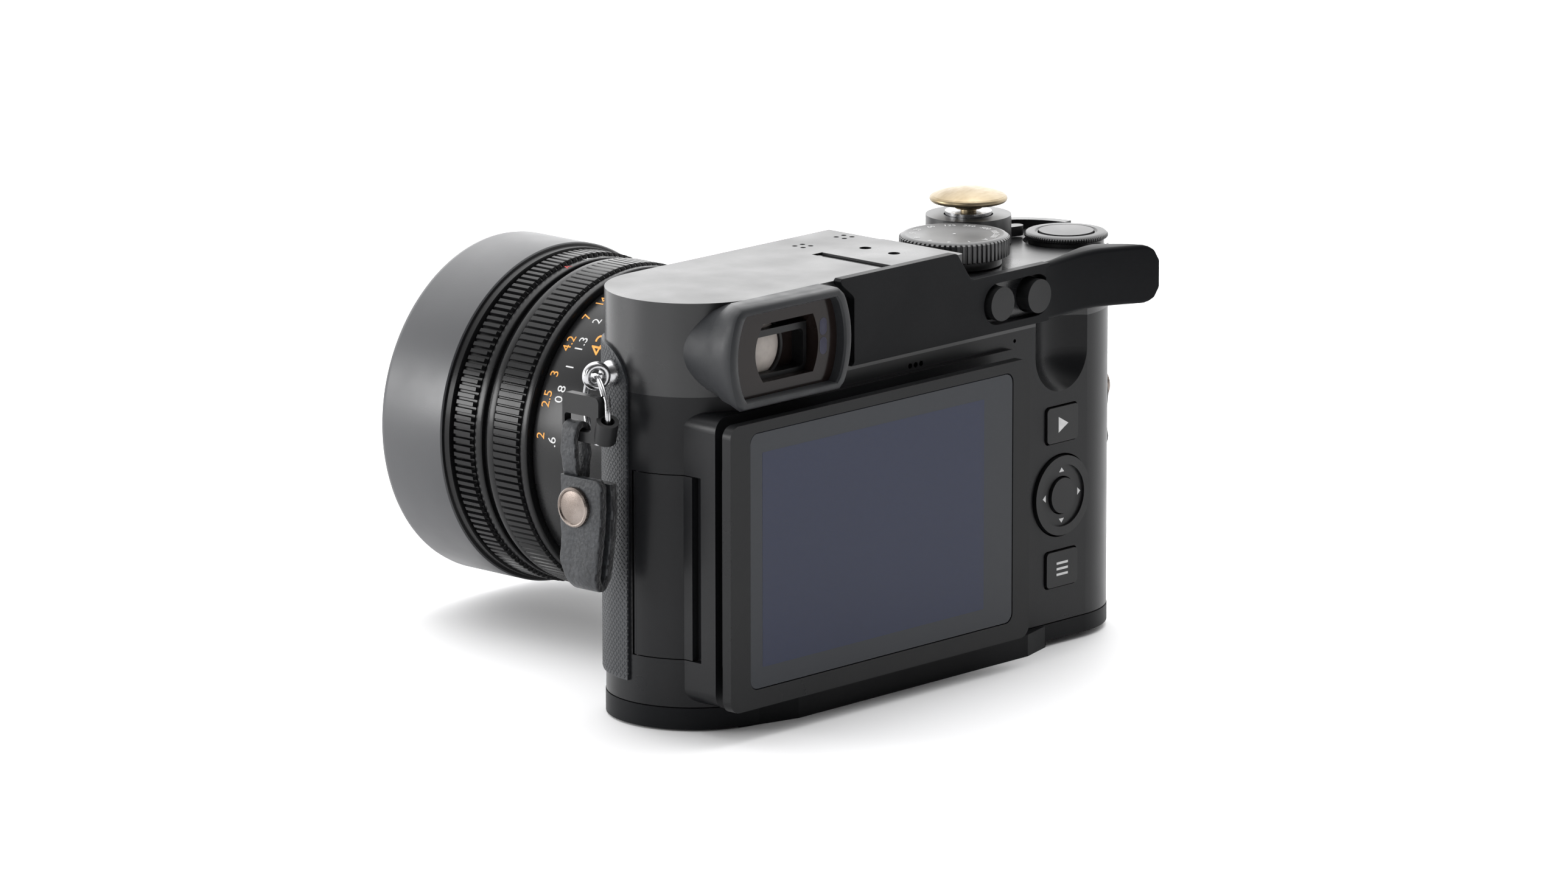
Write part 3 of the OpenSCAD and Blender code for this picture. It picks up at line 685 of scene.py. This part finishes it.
def make_wheel_and_release():
    ribbed_disc("thumb_wheel_rim", "thumb_wheel", 96, 0.22, "thumb_wheel",
                {"foot": 5.4, "rim": 6.3, "depth": 0.3, "hole": 5.75}, ["thumb_wheel"])
    low, high = mm_box("thumb_wheel")
    neck = [(low[2] + 4.0, 5.75), (low[2] + 4.0, 7.6), (low[2] + 5.6, 7.6), (low[2] + 5.6, 5.75)]
    bm = bmesh.new()
    lathe(bm, neck, centre_of("thumb_wheel"), "Z", 96)
    finish_mesh("thumb_wheel_neck", bm, "thumb_wheel", "top_black")
    low, high = mm_box("soft_release")
    centre = centre_of("soft_release")
    outer = (high[0] - low[0]) / 2
    rim = high[2] - 1.55
    flat = outer - 0.35
    radii = [flat * sin(pi / 2 * k / 14) for k in range(14)]
    profile = [(rim + 1.55 * (1 - (r / flat) ** 2) ** 0.9, r) for r in radii]
    for k in range(9):
        t = radians(70 - 150 * k / 8)
        profile.append((rim - 0.62 + 0.66 * sin(t), outer - 0.62 + 0.62 * cos(t)))
    profile += [
        (rim - 1.4, outer - 1.5), (rim - 1.6, outer - 2.6), (rim - 1.7, 3.0), (rim - 2.6, 2.7),
        (rim - 2.7, 1.6),
        (low[2], 1.6), (low[2], 0.0),
    ]
    bm = bmesh.new()
    lathe(bm, profile, centre, "Z", 120, closed=False)
    finish_mesh("soft_release_dome", bm, "shutter_button", "brass", ["soft_release"], 50)


# ---------------------------------------------------------------- viewfinder
def barrel_loop(x_left, x_right, z_low, z_high, bow_left, bow_right, y, corner=1.2, count=9, power=1.0):
    """A loop with level top and bottom and bowed ends; corners are cut by small arcs."""
    mid = (z_low + z_high) / 2
    half = (z_high - z_low) / 2
    points = []
    for side, x, bow in ((1, x_left, bow_left), (-1, x_right, bow_right)):
        for k in range(count + 1):
            t = (2 * k / count - 1) * side
            z = mid + half * t
            edge = max(0.0, abs(t) - 0.82) / 0.18
            swell = bow * (1 - t * t) ** (power if side > 0 else 1.0)
            points.append((x + side * (swell - corner * edge * edge), y, z))
    return points


def make_eyecup():
    low, high = mm_box("eyecup")
    face = high[1]
    z0, z1 = low[2] + 0.1, high[2] - 0.1
    skins = [
        # left corner, right corner, bow left, bow right, y, height change, corner cut, roundness
        (50.6, 30.5, 10.4, 1.0, 7.0, -0.7, 0.6, 0.55),
        (52.8, 30.5, 9.0, 1.2, 12.0, -0.7, 0.8, 0.6),
        (56.4, 30.6, 5.8, 1.6, 17.0, -0.7, 0.9, 0.72),
        (56.9, 30.6, 5.5, 1.7, 17.7, -0.1, 0.9, 0.75),
        (59.2, 30.8, 3.6, 2.3, 21.2, 0.0, 0.9, 0.9),
        (60.2, 31.0, 2.75, 2.6, face - 0.9, 0.0, 0.9, 1.0),
        (60.1, 31.1, 2.6, 2.5, face - 0.3, -0.2, 0.9, 1.0),
        (59.7, 31.5, 2.4, 2.3, face, -0.6, 0.8, 1.0),
        (58.7, 32.3, 2.2, 2.1, face, -1.35, 0.5, 1.0),
        (58.3, 32.6, 2.1, 2.0, face - 0.35, -1.6, 0.4, 1.0),
        (58.1, 32.7, 2.1, 2.0, face - 2.6, -1.7, 0.35, 1.0),
    ]
    bm = bmesh.new()
    sections = []
    for left, right, bow_left, bow_right, y, grow, corner, power in skins:
        sections.append(barrel_loop(
            left, right, z0 - grow, z1 + grow, bow_left, bow_right, y, corner, 18, power))
    loft(bm, sections, cap=False)
    finish_mesh("eyecup_rubber", bm, "camera", "rubber", ["eyecup"], 38)

    def pane(y, grow):
        return barrel_loop(58.1 + grow, 32.7 - grow, z0 + 1.7 - grow, z1 - 1.7 + grow, 2.1, 2.0, y, 0.35, 18)

    bm = bmesh.new()
    mask_y = face - 2.2
    opening = barrel_loop(51.4, 37.4, 69.0, 80.4, 2.2, 1.5, mask_y, 0.0, 18)
    throat = [(x, y - 5.5, z) for x, y, z in opening]
    rows = loft(bm, [pane(mask_y, 0.1), opening, throat], cap=False)
    bm.faces.new(rows[-1])
    finish_mesh("ocular_mask", bm, "camera", "ocular_brown", ["eyepiece_glass"])
    # the ocular: a convex lens in a ring, set to the outer side of the opening; its pale matte colour is a
    # painted reflection, not the glass's own colour
    eye = [47.6, 0, 74.6]
    bm = bmesh.new()
    bulge = [(mask_y - 4.9 + 1.6 * (1 - (r / 5.6) ** 2), r) for r in (5.6, 5.2, 4.5, 3.6, 2.6, 1.5, 0.0)]
    lathe(bm, bulge, eye, "Y", 64, closed=False)
    finish_mesh("ocular_lens", bm, "camera", "ocular_painted_reflection")
    bm = bmesh.new()
    ring = [(mask_y - 5.4, 5.5), (mask_y - 4.2, 5.5), (mask_y - 4.0, 5.9), (mask_y - 5.4, 6.6)]
    lathe(bm, ring, eye, "Y", 64)
    finish_mesh("ocular_ring", bm, "camera", "plastic_black")
    bm = bmesh.new()
    for z in (73.6, 77.4):
        dot = [(34.5 + x, mask_y + 0.03, z + v) for x, v in rounded_loop(2.0, 3.4, 0.99, 6)]
        bm.faces.new([bm.verts.new(p) for p in dot])
    finish_mesh("eye_sensor", bm, "camera", "sensor_dots")


# ---------------------------------------------------------------- thumb rest
def make_thumb_rest():
    back = 19.2
    front = 17.2
    outline = [
        (22.8, 68.2), (22.8, 80.6), (23.2, 81.2), (26.3, 83.7), (26.7, 84.5), (26.2, 85),
        (-6.4, 85), (-7.1, 84.75),
        (-10.1, 80.5), (-10.9, 79.5), (-11.9, 79), (-34.2, 79), (-34.2, 67.3), (23.7, 67.3), (23.1, 67.6),
    ]
    slot_x = (-34.6, -14.9)
    slot = []
    mid_z, radius = 73.05, 4.15
    for cx, start in ((slot_x[1] - radius, -90), (slot_x[0] + radius, 90)):
        for k in range(17):
            t = radians(start + 180 * k / 16)
            slot.append((cx + radius * cos(t), mid_z + radius * sin(t)))
    bm = bmesh.new()
    plates = []
    for y in (front, back):
        rims = []
        for shape in (outline, slot):
            verts = [bm.verts.new((x, y, z)) for x, z in shape]
            edges = [bm.edges.new((verts[i], verts[(i + 1) % len(verts)])) for i in range(len(verts))]
            rims.append((verts, edges))
        bmesh.ops.triangle_fill(bm, use_beauty=True, use_dissolve=False, edges=rims[0][1] + rims[1][1])
        plates.append(rims)
    for k in (0, 1):
        near, far = plates[0][k][0], plates[1][k][0]
        for i in range(len(near)):
            j = (i + 1) % len(near)
            bm.faces.new((near[i], near[j], far[j], far[i]))
    bmesh.ops.dissolve_limit(bm, angle_limit=radians(1), verts=bm.verts, edges=bm.edges)
    finish_mesh("thumb_rest_plate", bm, "camera", "accessory_black", ["thumb_rest"], 30, bevel=0.4)
    # the hook for the thumb: level sections between a hollow rear face and a front face
    steps = 36
    reach = (-33.2, -56.5)
    sections = []
    for k in range(steps + 1):
        t = k / steps
        x = reach[0] + (reach[1] - reach[0]) * t
        rise = min(1.0, t / 0.6)
        rise = rise * rise * (3 - 2 * rise)
        z_low = 67.3 + 1.2 * rise
        z_high = 79 + 1.4 * rise
        rear = back + 8.5 * t ** 1.75
        lead = max(0.0, (t - 0.66) / 0.34)
        ahead = front + 8.0 * lead ** 1.35
        tip = 2.4
        into = max(0.0, (x - reach[1]))
        if into < tip:
            cut = tip - sqrt(max(0.0, tip * tip - (tip - into) ** 2))
            z_low += cut
            z_high -= cut
        sections.append(hook_section(x, ahead, rear, z_low, z_high, t))
    bm = bmesh.new()
    loft(bm, sections)
    finish_mesh("thumb_hook", bm, "camera", "accessory_black", smooth_angle=50)
    # the foot in the shoe, with two screw wells
    bm = bmesh.new()
    loop = rounded_loop(17.8, 21.6, 0.7, 4)
    well = [(1.2 * cos(2 * pi * i / 24), 1.2 * sin(2 * pi * i / 24)) for i in range(24)]
    wells = []
    for z in (84.65, 82.6):
        outer = [bm.verts.new((x, 8.3 + v, z)) for x, v in loop]
        edges = [bm.edges.new((outer[i], outer[(i + 1) % len(outer)])) for i in range(len(outer))]
        rings = [outer]
        for cy in (1.2, 8.8):
            ring = [bm.verts.new((x, cy + v, z)) for x, v in well]
            edges += [bm.edges.new((ring[i], ring[(i + 1) % 24])) for i in range(24)]
            rings.append(ring)
        bmesh.ops.triangle_fill(bm, use_beauty=True, edges=edges)
        wells.append(rings)
    for a, b in zip(*wells):
        for i in range(len(a)):
            j = (i + 1) % len(a)
            bm.faces.new((a[i], a[j], b[j], b[i]))
    finish_mesh("thumb_rest_foot", bm, "camera", "cover_black", smooth_angle=30, bevel=0.12)


def hook_section(x, ahead, rear, z_low, z_high, t):
    """One level slice of the hook, leaning outwards towards the tip."""
    lean = -1.0 * t ** 3
    mid_y = (ahead + rear) / 2
    half_y = max((rear - ahead) / 2, 0.45)
    half_z = (z_high - z_low) / 2
    mid_z = (z_low + z_high) / 2
    radius = min(1.0, half_y * 0.9, half_z * 0.9)
    loop = rounded_loop(2 * half_y, 2 * half_z, radius, 5)
    return [(x + lean * (u / max(half_y, 0.1)), mid_y + u, mid_z + v) for u, v in loop]


# ---------------------------------------------------------------- leatherette
CROSS = ((1, 0), (0, 1), (-1, 0), (0, -1))


def make_leather_diamonds():
    """Small flat-topped diamonds all over the leatherette, laid round the front and both ends."""
    low, high = mm_box("leather_wrap")
    outer = -low[1]
    end_x = high[0] - outer
    corner_y, corner_z, corner_r = -8.6, 66.4, 7.4
    lens_z, lens_clear = 39.0, 33.2
    pitch, base, crown, proud = 1.3, 0.6, 0.3, 0.13
    quarter = outer * pi / 2
    length = 2 * end_x + 2 * quarter
    bm = bmesh.new()

    def place(s, z, lift):
        """s runs from the rear of the left end, round the front, to the rear of the right end."""
        r = outer + lift
        if s < quarter:
            t = s / outer
            return (end_x + r * cos(t), -r * sin(t), z)
        if s > length - quarter:
            t = (length - s) / outer
            return (-end_x - r * cos(t), -r * sin(t), z)
        return (end_x - (s - quarter), -r, z)

    rows = int((high[2] - low[2]) / (pitch / 2))
    columns = int(length / pitch)
    for row in range(1, rows):
        z = low[2] + row * pitch / 2
        for column in range(1, columns):
            s = (column + 0.5 * (row % 2)) * pitch
            x, y, _ = place(s, z, 0)
            if sqrt(x * x + (z - lens_z) ** 2) < lens_clear:
                continue
            if z > corner_z and y > corner_y and sqrt((y - corner_y) ** 2 + (z - corner_z) ** 2) > corner_r:
                continue
            if s < pitch or s > length - pitch or z > high[2] - 0.8:
                continue
            feet = [bm.verts.new(place(s + u * base, z + v * base, -0.03)) for u, v in CROSS]
            tops = [bm.verts.new(place(s + u * crown, z + v * crown, proud)) for u, v in CROSS]
            bm.faces.new(feet)
            bm.faces.new(tops)
            for i in range(4):
                j = (i + 1) % 4
                bm.faces.new((feet[i], feet[j], tops[j], tops[i]))
    finish_mesh("leather_diamonds", bm, "camera", "leatherette", smooth_angle=20)


# ---------------------------------------------------------------- strap fittings
RING_TURN = 62
LUG_TURN = 62


def strip(bm, path, thick, edges_at, rounds=3):
    """A leather strip that follows a path in x and z; edges_at(k) gives its limits in y."""
    path = smooth_path(path, rounds)
    last = len(path) - 1
    sections = []
    for k, (x, z) in enumerate(path):
        before, after = path[max(k - 1, 0)], path[min(k + 1, last)]
        direction = Vector((after[0] - before[0], after[1] - before[1])).normalized()
        normal = Vector((-direction.y, direction.x))
        y0, y1 = edges_at(k / last, x, z)
        loop = []
        for u, v in rounded_loop(y1 - y0, thick, min(0.5, thick * 0.32), 3):
            wave = 0.1 * sin(z * 1.9 + u * 1.3) * sin(u * 0.8 + z * 0.35)
            loop.append((x + normal.x * (v + wave), (y0 + y1) / 2 + u, z + normal.y * (v + wave)))
        sections.append(loop)
    loft(bm, sections)


def strap_side(side):
    """The leather tab, press stud, split ring and eyelet of one side."""
    ring_y = centre_of("strap_ring_left")[1]
    low, high = mm_box("strap_tab_left")
    bottom = low[2]
    inner, outer = low[0], high[0]
    y0, y1 = low[1], high[1]
    tab = "strap_tab_" + side

    def placed(bm):
        """Everything is drawn on the left; the right side is the same turned half round."""
        if side == "right":
            for v in bm.verts:
                v.co = Vector((-v.co.x, 2 * ring_y - v.co.y, v.co.z))
        return bm

    # wide flap folded under at its lower end
    thick = 1.75
    mid = (inner + outer) / 2
    out_x, in_x = outer - thick / 2 - 0.05, inner + thick / 2 + 0.05
    flap = [
        (out_x - 0.1, 50.3), (out_x, 47), (out_x, 40), (out_x, 35), (out_x + 0.02, 32), (out_x - 0.25, 29.7),
        (mid, bottom + 0.75), (in_x + 0.25, 29.7), (in_x, 32), (in_x, 36), (in_x, 44), (in_x + 0.2, 49.4),
    ]

    def flap_edges(t, x, z):
        drop = max(0.0, (44 - z) / 16)
        tuck = max(0.0, (34 - z) / 6)
        near_top = max(0.0, (z - 49.2) / 1.3)
        front = y0 + 0.2 * sin(z * 0.7) + 2.6 * tuck ** 2 + 0.3 * near_top
        return front, y1 - 2.1 * drop ** 1.3 - 1.2 * near_top

    bm = bmesh.new()
    strip(bm, flap, thick, flap_edges)
    leather_piece(f"strap_flap_{side}", placed(bm), tab, [tab])
    # narrow band that goes up from inside the flap and round the clip's bar
    loop_z = 58.4
    loop_r = 1.72
    band = [(mid + 0.1, 45), (mid + 0.4, 48.4), (mid + 1.4, 51.6), (mid + 1.75, 54.5), (mid + loop_r, loop_z)]
    for k in range(1, 8):
        t = pi * k / 8
        band.append((mid + loop_r * cos(t) * 1.02, loop_z + loop_r * 1.05 * sin(t)))
    band += [(mid - loop_r, loop_z), (mid - 1.75, 54.5), (mid - 1.5, 51.2), (mid - 0.7, 48), (mid - 0.5, 45)]
    bm = bmesh.new()
    strip(bm, band, 1.28, lambda t, x, z: (-9.3 + 0.1 * sin(z), -5.35 + 0.1 * sin(z * 1.3)))
    leather_piece(f"strap_band_{side}", placed(bm), tab)

    # press stud: raised rim and slightly domed cap, with its back plate
    centre = centre_of("strap_rivet_left")
    low, high = mm_box("strap_rivet_left")
    seat = high[0] - 1.05
    profile = [
        (seat - 0.3, 0.0), (seat - 0.3, 3.9), (seat + 0.15, 4.0), (seat + 0.6, 3.9), (seat + 0.85, 3.6),
        (seat + 0.82, 3.35), (seat + 0.6, 3.2), (seat + 0.66, 2.8), (seat + 0.85, 1.6), (seat + 0.9, 0.0),
    ]
    bm = bmesh.new()
    lathe(bm, profile, centre, "X", 72, closed=False)
    back = low[0]
    rear = [
        (back + 1.0, 0.0), (back + 1.0, 3.3), (back + 0.35, 3.4),
        (back, 3.0), (back + 0.05, 1.8), (back + 0.3, 0.0),
    ]
    lathe(bm, rear, centre, "X", 48, closed=False)
    finish_mesh(f"press_stud_{side}", placed(bm), tab, "rivet_metal", ["strap_rivet_" + side], 35)

    # split ring of two coils
    ring = Vector(centre_of("strap_ring_left"))
    low, high = mm_box("strap_ring_left")
    wire = 0.43
    major = (high[2] - low[2]) / 2 - 0.85
    slant = Matrix.Rotation(radians(RING_TURN), 3, "Z")
    bm = bmesh.new()
    turns, segments, sides = 2, 72, 10
    rows = []
    for k in range(turns * segments + 1):
        t = 2 * pi * k / segments + 0.6
        shift = (k / (turns * segments) - 0.5) * 2 * wire
        radial = Vector((cos(t), 0, sin(t)))
        row = []
        for n in range(sides):
            a = 2 * pi * n / sides
            offset = wire * (cos(a) * radial + sin(a) * Vector((0, 1, 0)))
            row.append(slant @ (radial * major + Vector((0, shift, 0)) + offset) + ring)
        rows.append(row)
    loft(bm, rows)
    node = "strap_ring_" + side
    finish_mesh(f"split_ring_{side}", placed(bm), node, "polished_steel", [node], 60)

    # eyelet with a rolled rim on a tapered foot
    eye = ring + Vector((0, 0, major))
    face_turn = Matrix.Rotation(radians(LUG_TURN), 3, "Z")
    rim = []
    for k in range(17):
        t = 2 * pi * k / 16
        rim.append((0.95 * sin(t), 2.05 + 0.8 * cos(t)))
    bm = bmesh.new()
    lathe(bm, rim[:-1], (0, 0, 0), "X", 64)
    for v in bm.verts:
        v.co = face_turn @ v.co + eye
    foot = []
    turns = [2 * pi * k / 32 for k in range(32)]
    for x, r in ((62.5, 2.6), (65.2, 2.6), (66.0, 2.4), (66.9, 1.9), (67.6, 1.3)):
        foot.append([(x, eye[1] + r * 0.9 * cos(t), eye[2] + r * sin(t)) for t in turns])
    loft(bm, foot)
    finish_mesh(f"eyelet_{side}", placed(bm), "camera", "polished_steel", ["strap_lug_" + side], 50)


def leather_piece(name, bm, body, replaced=()):
    piece = finish_mesh(name, bm, body, "strap_leather", replaced, 55)
    piece.data.materials.append(MATERIALS["leather_edge"])
    for face in piece.data.polygons:
        if abs(face.normal[1]) > 0.7:
            face.material_index = 1
    return piece


def smooth_path(points, rounds):
    for _ in range(rounds):
        new = [points[0]]
        for a, b in zip(points, points[1:]):
            new.append((a[0] * 0.75 + b[0] * 0.25, a[1] * 0.75 + b[1] * 0.25))
            new.append((a[0] * 0.25 + b[0] * 0.75, a[1] * 0.25 + b[1] * 0.75))
        new.append(points[-1])
        points = new
    return points[::2]


# ---------------------------------------------------------------- display window
def make_display_window():
    low, high = mm_box("display_glass")
    width, height = high[0] - low[0], high[2] - low[2]
    mid_x, mid_z = (low[0] + high[0]) / 2, (low[2] + high[2]) / 2

    def pane(y, shrink, radius=1.9):
        loop = rounded_loop(width - 2 * shrink, height - 2 * shrink, radius, 6)
        return [(mid_x + x, y, mid_z + z) for x, z in loop]

    bm = bmesh.new()
    loft(bm, [pane(high[1] - 0.55, 0.0), pane(high[1] - 0.1, 0.0), pane(high[1], 0.1)])
    finish_mesh("display_cover_glass", bm, "display_panel", "screen_glass", ["display_glass"], 30)
    bm = bmesh.new()
    loft(bm, [pane(low[1] - 0.02, 0.0), pane(high[1] - 0.62, 0.05)])
    finish_mesh("display_black_border", bm, "display_panel", "plastic_black", smooth_angle=30)
    low_lcd, high_lcd = mm_box("display_lcd")
    bm = bmesh.new()
    loop = rounded_loop(high_lcd[0] - low_lcd[0], high_lcd[2] - low_lcd[2], 0.25, 3)
    mx, mz = (low_lcd[0] + high_lcd[0]) / 2, (low_lcd[2] + high_lcd[2]) / 2
    loft(bm, [[(mx + x, y, mz + z) for x, z in loop] for y in (high[1] - 0.3, high[1] + 0.02)])
    finish_mesh("display_image_area", bm, "display_panel", "lcd", ["display_lcd"], 30)


# ---------------------------------------------------------------- marks on the rear controls
MARK_LIFT = 0.03


def flat_mark(name, points, y, material, body):
    """Filled outlines in x and z, laid on a rear face."""
    bm = bmesh.new()
    for outline in points:
        verts = [bm.verts.new((x, y, z)) for x, z in outline]
        bm.faces.new(verts)
    finish_mesh(name, bm, body, material)


def make_rear_marks():
    px, _, pz = centre_of("play_button")
    face = mm_box("play_button")[1][1] + MARK_LIFT
    flat_mark("play_mark", [[(px + 1.3, pz + 1.6), (px + 1.3, pz - 1.6), (px - 1.6, pz)]], face, "white_ink",
              "play_button")
    mx, _, mz = centre_of("menu_button")
    bars = []
    for k in (-1, 0, 1):
        z = mz + 1.15 * k
        bars.append([(mx - 1.7, z - 0.24), (mx + 1.7, z - 0.24), (mx + 1.7, z + 0.24), (mx - 1.7, z + 0.24)])
    flat_mark("menu_mark", bars, face, "white_ink", "menu_button")
    dx, _, dz = centre_of("dpad_ring")
    arrows = []
    reach, base, half = 5.65, 4.75, 0.75
    for k in range(4):
        t = pi / 2 * k
        tip = (dx + reach * cos(t), dz + reach * sin(t))
        left = (dx + base * cos(t) - half * sin(t), dz + base * sin(t) + half * cos(t))
        right = (dx + base * cos(t) + half * sin(t), dz + base * sin(t) - half * cos(t))
        arrows.append([tip, left, right])
    groove_floor = mm_box("dpad_ring")[1][1] - 0.5
    flat_mark("dpad_arrows", arrows, groove_floor + MARK_LIFT, "white_ink", "dpad_ring")


# ---------------------------------------------------------------- carried-over CAD nodes
EDGE_WIDTH = {
    "body_shell": 0.25, "top_cover": 0.35, "bottom_cover": 0.2, "base_plate": 0.5, "display_frame": 0.9,
    "display_panel": 0.7, "display_glass": 0.15, "thumb_rest": 0.45, "hot_shoe": 0.15, "display_arm": 0.3,
    "power_switch": 0.4, "shutter_button": 0.4, "thumb_wheel_button": 0.2, "function_button_left": 0.5,
    "function_button_right": 0.5, "play_button": 0.4, "menu_button": 0.4, "dpad_ring": 0.3,
    "dpad_center": 0.35, "port_door": 0.25, "strap_link_left": 0.35, "strap_link_right": 0.35,
    "strap_lug_left": 0.4, "strap_lug_right": 0.4, "battery": 0.5, "battery_lever": 0.3,
    "base_plate_screw": 0.3, "leather_wrap": 0.15, "lens_barrel": 0.3, "front_bezel": 0.2,
}


def dress_nodes():
    slots = {row["node"]: row["material_slot"] for row in frame["record"]["subparts"]}
    for name, obj in NODES.items():
        obj.data.materials.clear()
        obj.data.materials.append(MATERIALS[FINISH.get(name, slots[name])])
        if name in EDGE_WIDTH:
            round_edges(obj, EDGE_WIDTH[name])


make_camera()
MATERIALS = make_materials()
FINISH = {
    "top_cover": "cover_black", "hot_shoe": "cover_black", "display_panel": "panel_black",
    "display_arm": "panel_black",
}
make_studio()
dress_nodes()
make_rings()
make_hood()
make_scales()
make_speed_dial()
make_wheel_and_release()
make_eyecup()
make_thumb_rest()
make_display_window()
make_leather_diamonds()
strap_side("left")
strap_side("right")
make_rear_marks()
